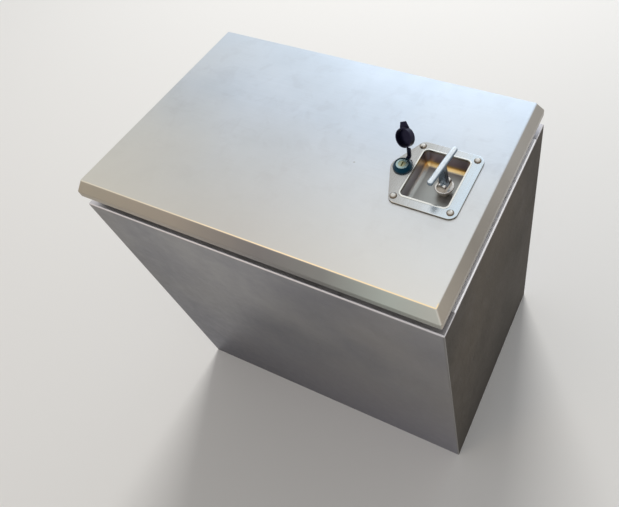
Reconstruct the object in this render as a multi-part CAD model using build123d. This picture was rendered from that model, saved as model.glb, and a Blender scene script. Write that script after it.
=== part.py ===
from build123d import *
import os

# Stainless steel battery box: a folded sheet box with a ledge and a rain lip round its mouth, a lid
# on a continuous hinge along one short end, and a folding T-handle latch with a key lock and a
# rubber dust cap near the other. Millimetres. X runs along the box towards the latch, -Y is the
# long front side, Z is up, and the origin is the middle of the underside.

# Box of sheet
BODY_LENGTH = 624.0
BODY_WIDTH = 414.0
BODY_HEIGHT = 556.0
SHEET = 1.5
FOLD_RADIUS = 3.0
LEDGE = 38.0
SEAM_GAP = 0.25
CORNER_ROUND = 1.4
FLOOR_UPSTAND = 22.0

# Lid of sheet, its flat top bevelled down to a short upright skirt
LID_SHORT = 2.0
LID_BEVEL_OUT = 11.0
LID_BEVEL_DROP = 20.0
LID_SKIRT = 10.0
LID_RISE = 50.0
LID_FOLD_RADIUS = 2.5
SEAL_HEIGHT = 12.0
SEAL_WIDTH = 16.0
BODY_GAP = 0.3

# Fittings in the box
MAT_THICKNESS = 4.0
MAT_MARGIN = 4.0
FLOOR_BOLT_INSET_X = 82.0
FLOOR_BOLT_INSET_Y = 77.0
FLOOR_BOLT_HOLE = 11.0
MAT_HOLE = 28.0
CABLE_BORE = 24.0
CABLE_HOLE = 34.0
GROMMET_RIM = 44.0
GROMMET_RIM_HEIGHT = 3.0
GROMMET_CHAMFER = 2.0
CABLE_SPACING = 70.0
CABLE_INSET = 122.0
CABLE_DROP = 86.0

# Continuous hinge
HINGE_MARGIN = 16.5
HINGE_KNUCKLES = 15
HINGE_SHEET = 1.5
HINGE_BARREL = 8.0
HINGE_PIN = 5.0
HINGE_PIN_HEAD = 1.5
HINGE_INSET = 5.5
HINGE_LIFT = 0.9
HINGE_LEAF = 26.0
HINGE_RIVETS = 6
RIVET_INSET = 9.1
RIVET_SHANK = 4.0
RIVET_HEAD = 7.5
RIVET_HEAD_HEIGHT = 1.65
RIVET_TAIL = 6.0
RIVET_TAIL_HEIGHT = 1.2
RUNNING_FIT = 0.05
KNUCKLE_GAP = 0.5

# Latch plate and dish, placed from the hub's axis
LATCH_INSET = 85.5
LATCH_Y = -3.8
PLATE_BACK = 10.75
PLATE_LENGTH = 105.5
PLATE_WIDTH = 124.0
PLATE_CORNER = 13.0
PLATE_SHEET = 2.0
PLATE_EDGE_ROUND = 1.2
PLATE_GASKET = 1.0
GASKET_INSET = 1.0
DISH_BACK = 12.5
DISH_LENGTH = 74.0
DISH_WIDTH = 93.0
DISH_CORNER = 7.0
DISH_DEPTH = 27.0
DISH_DRAFT = 5.0
DISH_FLOOR_ROUND = 8.0
DISH_ROOM = 0.5
BEAD_WIDTH = 2.4
BEAD_HEIGHT = 1.2
BEAD_ROUND = 1.0
SCREW_BACK = 11.9
SCREW_SPACING_X = 87.5
SCREW_SPACING_Y = 102.5
SCREW_SHANK = 5.0
SCREW_HEAD = 11.0
SCREW_HEAD_HEIGHT = 3.4
SCREW_THROUGH = 6.0
SCREW_NUT = 8.0
SCREW_NUT_HEIGHT = 4.0

# Swivel hub, handle and cam
HUB_DIAMETER = 31.0
HUB_FOOT_DIAMETER = 19.0
HUB_HEIGHT = 14.7
HUB_ROUND = 1.4
HUB_TURN = -6.0
SHAFT_DIAMETER = 14.0
HOUSING_DIAMETER = 26.0
HOUSING_FLANGE = 34.0
HOUSING_FLANGE_SHEET = 2.0
HOUSING_LENGTH = 20.5
PIVOT_DEPTH = 6.0
PIVOT_PIN = 6.0
EAR_THICKNESS = 5.0
EAR_RADIUS = 7.5
STEM_THICKNESS = 9.0
STEM_WIDTH = 13.0
STEM_NECK = 7.6
HANDLE_REACH = 39.0
HANDLE_ROOT = 10.0
HANDLE_ROOT_DEPTH = 7.2
HANDLE_ROOT_TAPER = 15.0
BAR_LENGTH = 76.0
BAR_DEPTH = 9.0
BAR_HEIGHT = 9.4
BAR_END_ROUND = 3.6
CAM_DEPTH = 58.4
CAM_THICKNESS = 4.0
CAM_REACH = 42.0
CAM_HUB = 24.0
CAM_TIP = 14.0
CAM_EASE = 1.6
CAM_SQUARE = 10.0
CAM_THREAD = 13.0
CAM_SPACER = 20.8
CAM_WASHER = 20.0
CAM_WASHER_SHEET = 2.0
CAM_NUT = 16.0
CAM_NUT_HEIGHT = 8.0
KEEPER_CLEARANCE = 0.4
KEEPER_REACH = 20.0
KEEPER_WIDTH = 44.0
KEEPER_RISE = 26.0

# Key lock
LOCK_BACK = 67.0
LOCK_Y = -0.8
LOCK_BUMP = 18.5
LOCK_DIAMETER = 20.5
LOCK_STAND = 9.3
LOCK_HANG = 20.0
LOCK_EDGE = 0.8
LOCK_NUT = 26.0
LOCK_NUT_HEIGHT = 4.0
PLUG_DIAMETER = 12.0
PLUG_RECESS = 0.4
KEYWAY_WIDTH = 2.0
KEYWAY_LENGTH = 8.0
KEYWAY_DEPTH = 4.0
TAIL_REACH = 22.0
TAIL_HUB = 16.0
TAIL_TIP = 10.0
TAIL_SHEET = 3.0
TAIL_SCREW = 8.0
TAIL_SCREW_HEIGHT = 2.4

# Rubber ring round the lock, its strap and the dust cap, which stands open
RING_BASE = 29.4
RING_TOP = 24.4
RING_HEIGHT = 7.0
RING_FOOT = 2.4
RING_LIP = 0.8
CAP_DIAMETER = 29.0
CAP_DEPTH = 7.0
CAP_SKIN = 2.4
CAP_WALL = 1.8
CAP_EDGE_ROUND = 0.8
CAP_TAB_BASE = 17.0
CAP_TAB_TIP = 9.6
CAP_TAB_REACH = 22.3
CAP_TURN = -15.0
CAP_HINGE_BACK = 19.6
CAP_HINGE_RISE = 18.8
CAP_HINGE_TILT = 9.0
CAP_SWING = 117.0
STRAP_TURN = -7.0
STRAP_WIDTH = 6.0
STRAP_THICKNESS = 2.4
STRAP_BACK = 19.4
STRAP_RISE = 22.0

# Which way a drawn piece stands from its place: up from it, or down
RISE = (Align.CENTER, Align.CENTER, Align.MIN)
DROP = (Align.CENTER, Align.CENTER, Align.MAX)

# Worked out from the above
HALF_LENGTH = BODY_LENGTH / 2
HALF_WIDTH = BODY_WIDTH / 2
LID_TOP = BODY_HEIGHT + LID_RISE
LID_RIM_LENGTH = BODY_LENGTH - LID_SHORT
LID_RIM_WIDTH = BODY_WIDTH
LID_X = LID_RIM_LENGTH / 2 - HALF_LENGTH
LID_UNDERSIDE = LID_TOP - SHEET
LIP_TOP = LID_UNDERSIDE - SEAL_HEIGHT - BODY_GAP
SKIRT_FOOT = LID_TOP - LID_BEVEL_DROP - LID_SKIRT
MOUTH_HALF_LENGTH = HALF_LENGTH - LEDGE
MOUTH_HALF_WIDTH = HALF_WIDTH - LEDGE
FLOOR_BOLTS_X = BODY_LENGTH - 2 * FLOOR_BOLT_INSET_X
FLOOR_BOLTS_Y = BODY_WIDTH - 2 * FLOOR_BOLT_INSET_Y
CABLE_Z = BODY_HEIGHT - CABLE_DROP
HINGE_LENGTH = BODY_WIDTH - 2 * HINGE_MARGIN
HINGE_X = -HALF_LENGTH + HINGE_INSET
HINGE_Z = BODY_HEIGHT + HINGE_BARREL / 2 + HINGE_LIFT
LEDGE_RIVET_X = HINGE_X + HINGE_LEAF - RIVET_INSET
SKIRT_RIVET_Z = SKIRT_FOOT + 0.5 * LID_SKIRT
HUB_X = HALF_LENGTH - LATCH_INSET
PLATE_X = HUB_X - PLATE_BACK
DISH_X = HUB_X - DISH_BACK
SCREW_X = HUB_X - SCREW_BACK
LOCK_X = HUB_X - LOCK_BACK
PLATE_FOOT = LID_TOP + PLATE_GASKET
PLATE_TOP = PLATE_FOOT + PLATE_SHEET
DISH_FLOOR = PLATE_TOP - DISH_DEPTH
DISH_UNDERSIDE = DISH_FLOOR - SHEET
HUB_FOOT = DISH_FLOOR + BODY_GAP
PIVOT_Z = LID_TOP - PIVOT_DEPTH
CAM_TOP = LID_TOP - CAM_DEPTH
CAM_FOOT = CAM_TOP - CAM_THICKNESS
LOCK_FACE = LID_TOP + LOCK_STAND
LOCK_FOOT = LID_TOP - LOCK_HANG
RING_TOP_Z = PLATE_TOP + RING_HEIGHT
CAP_RIM_Z = RING_TOP_Z + BODY_GAP


def knuckle_edges():
    """Where each knuckle of the hinge starts and ends along Y."""
    pitch = HINGE_LENGTH / HINGE_KNUCKLES
    start = -HINGE_LENGTH / 2
    return [(start + i * pitch, start + (i + 1) * pitch) for i in range(HINGE_KNUCKLES)]


def rivet_places():
    """The rivets' places along the hinge."""
    pitch = HINGE_LENGTH / HINGE_RIVETS
    return [(i + 0.5) * pitch - HINGE_LENGTH / 2 for i in range(HINGE_RIVETS)]


def wall_section(half_span, lip):
    """Outline of a folded wall: up the outside, in along the ledge and, with a lip, up again."""
    points = [(-half_span, 0), (-half_span, BODY_HEIGHT), (-half_span + LEDGE, BODY_HEIGHT)]
    if lip:
        points.append((-half_span + LEDGE, LIP_TOP))
    outside = FilletPolyline(*points, radius=FOLD_RADIUS)
    return make_face(offset(outside, amount=SHEET, side=Side.RIGHT, closed=True))


def long_panel():
    """A front wall that runs the whole length, its lip stopping short at the mouth's corners."""
    wall = extrude(Plane.YZ * wall_section(HALF_WIDTH, lip=False), HALF_LENGTH, both=True)
    lip_half = MOUTH_HALF_LENGTH - SHEET - SEAM_GAP
    lipped = extrude(Plane.YZ * wall_section(HALF_WIDTH, lip=True), lip_half, both=True)
    panel = wall + lipped
    corners = panel.edges().filter_by(Axis.Z).filter_by(lambda e: e.length > BODY_HEIGHT / 2)
    outer = corners.filter_by(lambda e: e.center().Y < -HALF_WIDTH + SHEET / 2)
    return fillet(outer, CORNER_ROUND)


def front_panel():
    """The long wall at the front."""
    return long_panel()


def rear_panel():
    """The long wall at the back, with two holes for the cable grommets."""
    panel = mirror(long_panel(), about=Plane.XZ)
    for x in cable_places():
        drill = Pos(x, HALF_WIDTH, CABLE_Z) * Rot(90, 0, 0) * Cylinder(CABLE_HOLE / 2, 4 * SHEET)
        panel -= drill
    return panel


def cable_places():
    """Where the two cables pass through the rear wall, along X."""
    middle = -HALF_LENGTH + CABLE_INSET
    return [middle - CABLE_SPACING / 2, middle + CABLE_SPACING / 2]


def end_panel():
    """A short wall: a plate between the long walls, folded in to its ledge and lip."""
    between = HALF_WIDTH - SHEET
    plate = Rectangle(2 * between, BODY_HEIGHT - SHEET - SEAM_GAP, align=(Align.CENTER, Align.MIN))
    plate = fillet(plate.vertices().group_by(Axis.Y)[-1], 2 * SHEET)
    plate = extrude(Plane.YZ.offset(-HALF_LENGTH) * plate, SHEET)
    folded_half = MOUTH_HALF_WIDTH - SEAM_GAP
    folded = extrude(Plane.XZ * wall_section(HALF_LENGTH, lip=True), folded_half, both=True)
    return plate + folded


def hinge_end_panel():
    """The short wall that carries the hinge, its ledge drilled for the hinge rivets."""
    panel = end_panel()
    for y in rivet_places():
        panel -= Pos(LEDGE_RIVET_X, y, BODY_HEIGHT) * Cylinder(RIVET_SHANK / 2, 6 * SHEET)
    return panel


def latch_end_panel():
    """The short wall that the latch pulls on."""
    return mirror(end_panel(), about=Plane.YZ)


def floor_panel():
    """A shallow tray welded inside the foot of the four walls, with four bolt holes."""
    length = BODY_LENGTH - 2 * SHEET
    width = BODY_WIDTH - 2 * SHEET
    outer = Box(length, width, FLOOR_UPSTAND, align=RISE)
    outer = fillet(outer.faces().sort_by(Axis.Z)[0].edges(), FOLD_RADIUS)
    inner = Pos(0, 0, SHEET) * Box(length - 2 * SHEET, width - 2 * SHEET, FLOOR_UPSTAND, align=RISE)
    inner = fillet(inner.faces().sort_by(Axis.Z)[0].edges(), FOLD_RADIUS - SHEET)
    tray = outer - inner
    for spot in GridLocations(FLOOR_BOLTS_X, FLOOR_BOLTS_Y, 2, 2):
        tray -= spot * Cylinder(FLOOR_BOLT_HOLE / 2, 4 * SHEET)
    return tray


def floor_mat():
    """The rubber mat that a battery stands on, open round the floor's bolts."""
    length = BODY_LENGTH - 4 * SHEET - 2 * MAT_MARGIN
    width = BODY_WIDTH - 4 * SHEET - 2 * MAT_MARGIN
    sheet = RectangleRounded(length, width, 2 * MAT_MARGIN)
    for spot in GridLocations(FLOOR_BOLTS_X, FLOOR_BOLTS_Y, 2, 2):
        sheet -= spot * Circle(MAT_HOLE / 2)
    return Pos(0, 0, SHEET) * extrude(sheet, MAT_THICKNESS)


def cable_grommets():
    """Two rubber grommets, each gripping the rear wall in its groove."""
    bore = CABLE_BORE / 2
    neck = CABLE_HOLE / 2
    rim = GROMMET_RIM / 2
    top = rim - GROMMET_CHAMFER
    deep = SHEET / 2
    face = deep + GROMMET_RIM_HEIGHT
    half = Polyline(
        (bore, -face), (top, -face), (rim, -deep), (neck, -deep),
        (neck, deep), (rim, deep), (top, face), (bore, face), close=True)
    ring = revolve(make_face(Plane.XZ * half), Axis.Z)
    middle = HALF_WIDTH - SHEET / 2
    return Compound([Pos(x, middle, CABLE_Z) * Rot(90, 0, 0) * ring for x in cable_places()])


def latch_keeper():
    """The hook that the cam pulls up against, welded inside the lip below the latch."""
    wall = MOUTH_HALF_LENGTH - SHEET
    hook = CAM_TOP + KEEPER_CLEARANCE
    path = FilletPolyline(
        (wall, BODY_HEIGHT + KEEPER_RISE), (wall, hook), (wall - KEEPER_REACH, hook), radius=FOLD_RADIUS)
    section = make_face(offset(path, amount=SHEET, side=Side.RIGHT, closed=True))
    return Pos(0, LATCH_Y, 0) * extrude(Plane.XZ * section, KEEPER_WIDTH / 2, both=True)


def knuckles(first):
    """Every second knuckle of the hinge barrel, starting from the first or the second."""
    barrel = None
    for low, high in knuckle_edges()[first::2]:
        long = high - low - KNUCKLE_GAP
        tube = Circle(HINGE_BARREL / 2)
        piece = extrude(Plane.XZ.offset(-low - KNUCKLE_GAP / 2) * tube, -long)
        barrel = piece if barrel is None else barrel + piece
    return Pos(HINGE_X, 0, HINGE_Z) * barrel


def barrel_bore():
    """The pin's running hole right through the hinge barrel."""
    hole = Cylinder(HINGE_PIN / 2 + RUNNING_FIT, HINGE_LENGTH + 2)
    return Pos(HINGE_X, 0, HINGE_Z) * Rot(90, 0, 0) * hole


def leaf_notches(first):
    """Blocks that clear the other leaf's knuckles out of a leaf."""
    gaps = None
    room = HINGE_BARREL + 2 * HINGE_LIFT
    for low, high in knuckle_edges()[first::2]:
        block = Pos(HINGE_X, (low + high) / 2, HINGE_Z) * Box(room, high - low + KNUCKLE_GAP, room)
        gaps = block if gaps is None else gaps + block
    return gaps


def hinge_body_leaf():
    """The hinge leaf that lies flat on the ledge."""
    low = (Align.MIN, Align.CENTER, Align.MIN)
    leaf = Pos(HINGE_X, 0, BODY_HEIGHT) * Box(HINGE_LEAF, HINGE_LENGTH, HINGE_SHEET, align=low)
    leaf = leaf - leaf_notches(1) + knuckles(0) - barrel_bore()
    for y in rivet_places():
        leaf -= Pos(LEDGE_RIVET_X, y, BODY_HEIGHT) * Cylinder(RIVET_SHANK / 2, 4 * HINGE_SHEET)
    return leaf


def hinge_lid_leaf():
    """The hinge leaf that stands up inside the lid's skirt."""
    low = (Align.MIN, Align.CENTER, Align.MIN)
    inner_face = -HALF_LENGTH + SHEET
    rise = LID_TOP - LID_BEVEL_DROP - LID_FOLD_RADIUS - HINGE_Z
    leaf = Pos(inner_face, 0, HINGE_Z) * Box(HINGE_SHEET, HINGE_LENGTH, rise, align=low)
    leaf = leaf - leaf_notches(0) + knuckles(1) - barrel_bore()
    for y in rivet_places():
        drill = Pos(inner_face, y, SKIRT_RIVET_Z) * Rot(0, 90, 0) * Cylinder(RIVET_SHANK / 2, 6 * SHEET)
        leaf -= drill
    return leaf


def hinge_pin():
    """The hinge pin, with a peened head at each end."""
    rod = Cylinder(HINGE_PIN / 2, HINGE_LENGTH + 2 * HINGE_PIN_HEAD)
    head = Cylinder((HINGE_PIN + HINGE_BARREL) / 4, HINGE_PIN_HEAD, align=RISE)
    end = HINGE_LENGTH / 2
    pin = rod + Pos(0, 0, end) * head + Pos(0, 0, -end) * Rot(180, 0, 0) * head
    return Pos(HINGE_X, 0, HINGE_Z) * Rot(90, 0, 0) * pin


def dome(diameter, height):
    """A shallow domed head on Z = 0: the cap of a ball."""
    ball = (diameter ** 2 / 4 + height ** 2) / (2 * height)
    return Pos(0, 0, height - ball) * Sphere(ball) & Cylinder(diameter, 2 * height, align=RISE)


def rivet(grip):
    """A domed rivet along Z: its head above 0, its shank down through the grip, its tail below."""
    shank = Cylinder(RIVET_SHANK / 2, grip, align=DROP)
    tail = Pos(0, 0, -grip) * Cylinder(RIVET_TAIL / 2, RIVET_TAIL_HEIGHT, align=DROP)
    return dome(RIVET_HEAD, RIVET_HEAD_HEIGHT) + shank + tail


def hinge_body_rivets():
    """Rivets that hold the lower leaf to the ledge."""
    one = rivet(HINGE_SHEET + SHEET)
    top = BODY_HEIGHT + HINGE_SHEET
    return Compound([Pos(LEDGE_RIVET_X, y, top) * one for y in rivet_places()])


def hinge_lid_rivets():
    """Rivets that hold the upper leaf to the skirt, their heads inside and their tails set flush."""
    shank = Cylinder(RIVET_SHANK / 2, SHEET + HINGE_SHEET, align=RISE)
    head = Pos(0, 0, SHEET + HINGE_SHEET) * Cylinder(RIVET_HEAD / 2, RIVET_TAIL_HEIGHT, align=RISE)
    one = Rot(0, 90, 0) * (shank + head)
    return Compound([Pos(-HALF_LENGTH, y, SKIRT_RIVET_Z) * one for y in rivet_places()])


def lid_form():
    """The lid's outside as a solid: flat top, mitred bevels and skirt, every fold rounded."""
    fold = LID_TOP - LID_BEVEL_DROP
    rim = Pos(LID_X, 0, fold) * Rectangle(LID_RIM_LENGTH, LID_RIM_WIDTH)
    flat_length = LID_RIM_LENGTH - 2 * LID_BEVEL_OUT
    flat_width = LID_RIM_WIDTH - 2 * LID_BEVEL_OUT
    flat = Pos(LID_X, 0, LID_TOP) * Rectangle(flat_length, flat_width)
    form = loft([rim, flat]) + extrude(rim, -LID_SKIRT)
    foot = form.faces().sort_by(Axis.Z)[0].edges()
    return fillet(form.edges() - foot, LID_FOLD_RADIUS)


def lid_shell():
    """The lid: the form hollowed to sheet and cut for the latch dish, its screws and the lock."""
    form = lid_form()
    lid = offset(form, amount=-SHEET, openings=form.faces().sort_by(Axis.Z)[0])
    cuts = dish_hole() + lock_place() * Circle(LOCK_DIAMETER / 2 + DISH_ROOM)
    for spot in screw_places():
        cuts += spot * Circle(SCREW_SHANK / 2)
    lid -= Pos(0, 0, LID_TOP - 3 * SHEET) * extrude(cuts, 6 * SHEET)
    for y in rivet_places():
        drill = Pos(-HALF_LENGTH, y, SKIRT_RIVET_Z) * Rot(0, 90, 0) * Cylinder(RIVET_SHANK / 2, 4 * SHEET)
        lid -= drill
    return lid


def lid_gasket():
    """The sponge rubber frame under the lid that meets the lip round the mouth."""
    length = 2 * MOUTH_HALF_LENGTH - SHEET
    width = 2 * MOUTH_HALF_WIDTH - SHEET
    frame = RectangleRounded(length + SEAL_WIDTH, width + SEAL_WIDTH, SEAL_WIDTH)
    frame -= Rectangle(length - SEAL_WIDTH, width - SEAL_WIDTH)
    return Pos(0, 0, LID_UNDERSIDE - SEAL_HEIGHT) * extrude(frame, SEAL_HEIGHT)


def screw_places():
    """The four screws of the latch plate."""
    grid = GridLocations(SCREW_SPACING_X, SCREW_SPACING_Y, 2, 2)
    return [Pos(SCREW_X, LATCH_Y, 0) * spot for spot in grid]


def lock_place():
    """The key lock's axis."""
    return Pos(LOCK_X, LOCK_Y, 0)


def plate_outline(inset=0.0):
    """The latch plate's outline: a rounded rectangle drawn out round the key lock."""
    length = PLATE_LENGTH - 2 * inset
    width = PLATE_WIDTH - 2 * inset
    plate = Pos(PLATE_X, LATCH_Y) * RectangleRounded(length, width, PLATE_CORNER - inset)
    bump = lock_place() * Circle(LOCK_BUMP - inset)
    return make_hull([*plate.edges(), *bump.edges()])


def dish_mouth(grow):
    """The dish's opening, grown on every side."""
    mouth = RectangleRounded(DISH_LENGTH + 2 * grow, DISH_WIDTH + 2 * grow, DISH_CORNER + grow)
    return Pos(DISH_X, LATCH_Y) * mouth


def dish_hole():
    """The hole that the dish hangs through, with room round it."""
    return dish_mouth(SHEET + DISH_ROOM)


def dish_hollow(grow, top, depth, floor_round):
    """The dish's tapered pocket, from its mouth down to its rounded floor."""
    pocket = extrude(Pos(0, 0, top) * dish_mouth(grow), -depth, taper=DISH_DRAFT)
    return fillet(pocket.faces().sort_by(Axis.Z)[0].edges(), floor_round)


def latch_dish():
    """The pressed latch plate: its dish, the bead round the dish and the holes through it."""
    plate = extrude(Pos(0, 0, PLATE_FOOT) * plate_outline(), PLATE_SHEET)
    plate = fillet(plate.faces().sort_by(Axis.Z)[-1].edges(), PLATE_EDGE_ROUND)
    bead = extrude(Pos(0, 0, PLATE_TOP) * dish_mouth(BEAD_WIDTH), BEAD_HEIGHT)
    bead = fillet(bead.faces().sort_by(Axis.Z)[-1].edges(), BEAD_ROUND)
    shell = dish_hollow(SHEET, PLATE_FOOT, PLATE_FOOT - DISH_UNDERSIDE, DISH_FLOOR_ROUND + SHEET)
    pocket = dish_hollow(0, PLATE_TOP, DISH_DEPTH, DISH_FLOOR_ROUND)
    throat = extrude(Pos(0, 0, PLATE_TOP - RUNNING_FIT) * dish_mouth(0), 2 * BEAD_HEIGHT)
    dish = plate + bead + shell - pocket - throat
    shaft = Cylinder(SHAFT_DIAMETER / 2 + RUNNING_FIT, 6 * SHEET)
    dish -= Pos(HUB_X, LATCH_Y, DISH_FLOOR) * shaft
    dish -= Pos(0, 0, PLATE_FOOT) * lock_place() * Cylinder(LOCK_DIAMETER / 2, 6 * PLATE_SHEET)
    for spot in screw_places():
        dish -= Pos(0, 0, PLATE_FOOT) * spot * Cylinder(SCREW_SHANK / 2, 6 * PLATE_SHEET)
    return dish


def latch_gasket():
    """The thin gasket between the latch plate and the lid."""
    pad = plate_outline(GASKET_INSET) - dish_hole() - lock_place() * Circle(LOCK_DIAMETER / 2)
    for spot in screw_places():
        pad -= spot * Circle(SCREW_SHANK / 2)
    return Pos(0, 0, LID_TOP) * extrude(pad, PLATE_GASKET)


def latch_screws():
    """Four dome-headed screws through the plate, its gasket and the lid."""
    length = PLATE_TOP - LID_UNDERSIDE + SCREW_THROUGH
    shank = Cylinder(SCREW_SHANK / 2, length, align=DROP)
    shank = chamfer(shank.faces().sort_by(Axis.Z)[0].edges(), SCREW_SHANK / 8)
    one = dome(SCREW_HEAD, SCREW_HEAD_HEIGHT) + shank
    return Compound([Pos(0, 0, PLATE_TOP) * spot * one for spot in screw_places()])


def latch_nuts():
    """The nuts of the four screws, tight under the lid."""
    nut = RegularPolygon(SCREW_NUT / 2, 6, major_radius=False) - Circle(SCREW_SHANK / 2)
    one = extrude(nut, -SCREW_NUT_HEIGHT)
    return Compound([Pos(0, 0, LID_UNDERSIDE) * spot * one for spot in screw_places()])


def hub_place(z):
    """A height on the hub's axis."""
    return Pos(HUB_X, LATCH_Y, z)


def shaft_housing():
    """The flanged bush welded under the dish, which the hub's shaft turns in."""
    flange = Cylinder(HOUSING_FLANGE / 2, HOUSING_FLANGE_SHEET, align=DROP)
    bush = flange + Cylinder(HOUSING_DIAMETER / 2, HOUSING_LENGTH, align=DROP)
    bush -= Cylinder(SHAFT_DIAMETER / 2 + RUNNING_FIT, 4 * HOUSING_LENGTH)
    return hub_place(DISH_UNDERSIDE) * bush


def on_hub(shape):
    """Sets a piece that is drawn square and centred on the hub at its angle on the hub's axis."""
    return hub_place(0) * Rot(0, 0, HUB_TURN) * shape


def pivot_bore(radius, length):
    """A round bar along the handle's pivot."""
    return Pos(0, 0, PIVOT_Z) * Rot(90, 0, 0) * Cylinder(radius, length)


def swivel_hub():
    """The swivel: a bowl with two ears for the handle, and a shaft squared and threaded below."""
    foot = Pos(0, 0, HUB_FOOT) * Circle(HUB_FOOT_DIAMETER / 2)
    rim = Pos(0, 0, HUB_FOOT + HUB_HEIGHT) * Circle(HUB_DIAMETER / 2)
    bowl = loft([foot, rim])
    bowl = fillet(bowl.faces().sort_by(Axis.Z)[-1].edges(), HUB_ROUND)
    slot = STEM_THICKNESS / 2 + BODY_GAP
    ear = (Pos(0, PIVOT_Z) * Circle(EAR_RADIUS)).edges()
    ear += (Pos(0, HUB_FOOT + HUB_HEIGHT / 2) * Rectangle(2 * EAR_RADIUS, 1)).edges()
    ears = extrude(Plane.XZ * make_hull(ear), slot + EAR_THICKNESS, both=True)
    swing = STEM_WIDTH / 2 + BODY_GAP
    floor = Pos(0, 0, PIVOT_Z - swing)
    blind = (Align.MAX, Align.CENTER, Align.MIN)
    opening = floor * Pos(swing, 0, 0) * Box(swing + HUB_DIAMETER, 2 * slot, HUB_DIAMETER, align=blind)
    opening += floor * Pos(0, 0, swing) * Box(2 * HUB_DIAMETER, 2 * slot, HUB_DIAMETER, align=RISE)
    shaft = Pos(0, 0, CAM_TOP) * Cylinder(SHAFT_DIAMETER / 2, HUB_FOOT + HUB_ROUND - CAM_TOP, align=RISE)
    square = Pos(0, 0, CAM_FOOT) * Box(CAM_SQUARE, CAM_SQUARE, CAM_THICKNESS, align=RISE)
    thread = Pos(0, 0, CAM_FOOT) * Cylinder(CAM_SQUARE / 2, CAM_THREAD, align=DROP)
    thread = chamfer(thread.faces().sort_by(Axis.Z)[0].edges(), CAM_SQUARE / 10)
    hub = bowl + ears - opening + shaft + square + thread
    return on_hub(hub - pivot_bore(PIVOT_PIN / 2, HUB_DIAMETER))


def handle_pin():
    """The pin through the ears that the handle folds on."""
    length = STEM_THICKNESS + 2 * (BODY_GAP + EAR_THICKNESS)
    return on_hub(pivot_bore(PIVOT_PIN / 2, length))


def t_handle():
    """The forged T-handle: an oval bar on a flat stem that swells round its pin."""
    top = PIVOT_Z + HANDLE_REACH
    bar = extrude(Plane.XZ * Ellipse(BAR_DEPTH / 2, BAR_HEIGHT / 2), BAR_LENGTH / 2, both=True)
    ends = bar.faces().filter_by(Axis.Y).edges()
    bar = Pos(0, 0, top) * fillet(ends, BAR_END_ROUND)
    foot = (Pos(0, PIVOT_Z) * Circle(STEM_WIDTH / 2)).edges()
    neck = (Pos(0, top) * Circle(STEM_NECK / 2)).edges()
    blade = extrude(Plane.XZ * make_hull(foot + neck), STEM_THICKNESS / 2, both=True)
    swell = Pos(0, 0, top) * Ellipse(HANDLE_ROOT_DEPTH / 2, STEM_THICKNESS)
    root = extrude(swell, -HANDLE_ROOT, taper=HANDLE_ROOT_TAPER)
    handle = blade + root + bar
    return on_hub(handle - pivot_bore(PIVOT_PIN / 2 + RUNNING_FIT, 2 * STEM_THICKNESS))


def cam_spacer():
    """The tube on the shaft between the bush and the cam."""
    length = DISH_UNDERSIDE - HOUSING_LENGTH - BODY_GAP - CAM_TOP
    ring = Circle(CAM_SPACER / 2) - Circle(SHAFT_DIAMETER / 2)
    return on_hub(Pos(0, 0, CAM_TOP) * extrude(ring, length))


def cam_arm():
    """The cam: a flat arm on the shaft's square, its tip eased so that it slides under the keeper."""
    tip = Pos(0, CAM_REACH - CAM_TIP / 2) * Circle(CAM_TIP / 2)
    arm = make_hull(Circle(CAM_HUB / 2).edges() + tip.edges())
    arm -= Rectangle(CAM_SQUARE, CAM_SQUARE)
    arm = extrude(arm, CAM_THICKNESS)
    edge = arm.faces().sort_by(Axis.Z)[-1].edges().sort_by(Axis.Y)[-1]
    return on_hub(Pos(0, 0, CAM_FOOT) * chamfer(edge, CAM_EASE))


def cam_washer():
    """The washer under the cam."""
    ring = Circle(CAM_WASHER / 2) - Circle(CAM_SQUARE / 2)
    return on_hub(Pos(0, 0, CAM_FOOT) * extrude(ring, -CAM_WASHER_SHEET))


def cam_nut():
    """The nut that holds the cam on."""
    nut = RegularPolygon(CAM_NUT / 2, 6, major_radius=False) - Circle(CAM_SQUARE / 2)
    return on_hub(Pos(0, 0, CAM_FOOT - CAM_WASHER_SHEET) * extrude(nut, -CAM_NUT_HEIGHT))


def lock_housing():
    """The lock's round body, through the plate and the lid."""
    length = LOCK_FACE - LOCK_FOOT
    body = Cylinder(LOCK_DIAMETER / 2, length, align=DROP)
    body = chamfer(body.faces().sort_by(Axis.Z)[-1].edges(), LOCK_EDGE)
    body -= Cylinder(PLUG_DIAMETER / 2 + RUNNING_FIT, 4 * length)
    return lock_place() * Pos(0, 0, LOCK_FACE) * body


def lock_nut():
    """The thin nut that holds the lock under the lid."""
    nut = RegularPolygon(LOCK_NUT / 2, 6, major_radius=False) - Circle(LOCK_DIAMETER / 2)
    return lock_place() * Pos(0, 0, LID_UNDERSIDE) * extrude(nut, -LOCK_NUT_HEIGHT)


def key_plug():
    """The plug that the key turns, with its keyway, a little recessed in the lock's face."""
    face = LOCK_FACE - PLUG_RECESS
    plug = Cylinder(PLUG_DIAMETER / 2, face - LOCK_FOOT + BODY_GAP, align=DROP)
    plug -= Box(KEYWAY_WIDTH, KEYWAY_LENGTH, 2 * KEYWAY_DEPTH)
    return lock_place() * Pos(0, 0, face) * plug


def lock_tail():
    """The tail on the foot of the plug, under the lid."""
    tip = Pos(TAIL_TIP / 2 - TAIL_REACH, 0) * Circle(TAIL_TIP / 2)
    tail = make_hull(Circle(TAIL_HUB / 2).edges() + tip.edges())
    return lock_place() * Pos(0, 0, LOCK_FOOT - BODY_GAP) * extrude(tail, -TAIL_SHEET)


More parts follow.
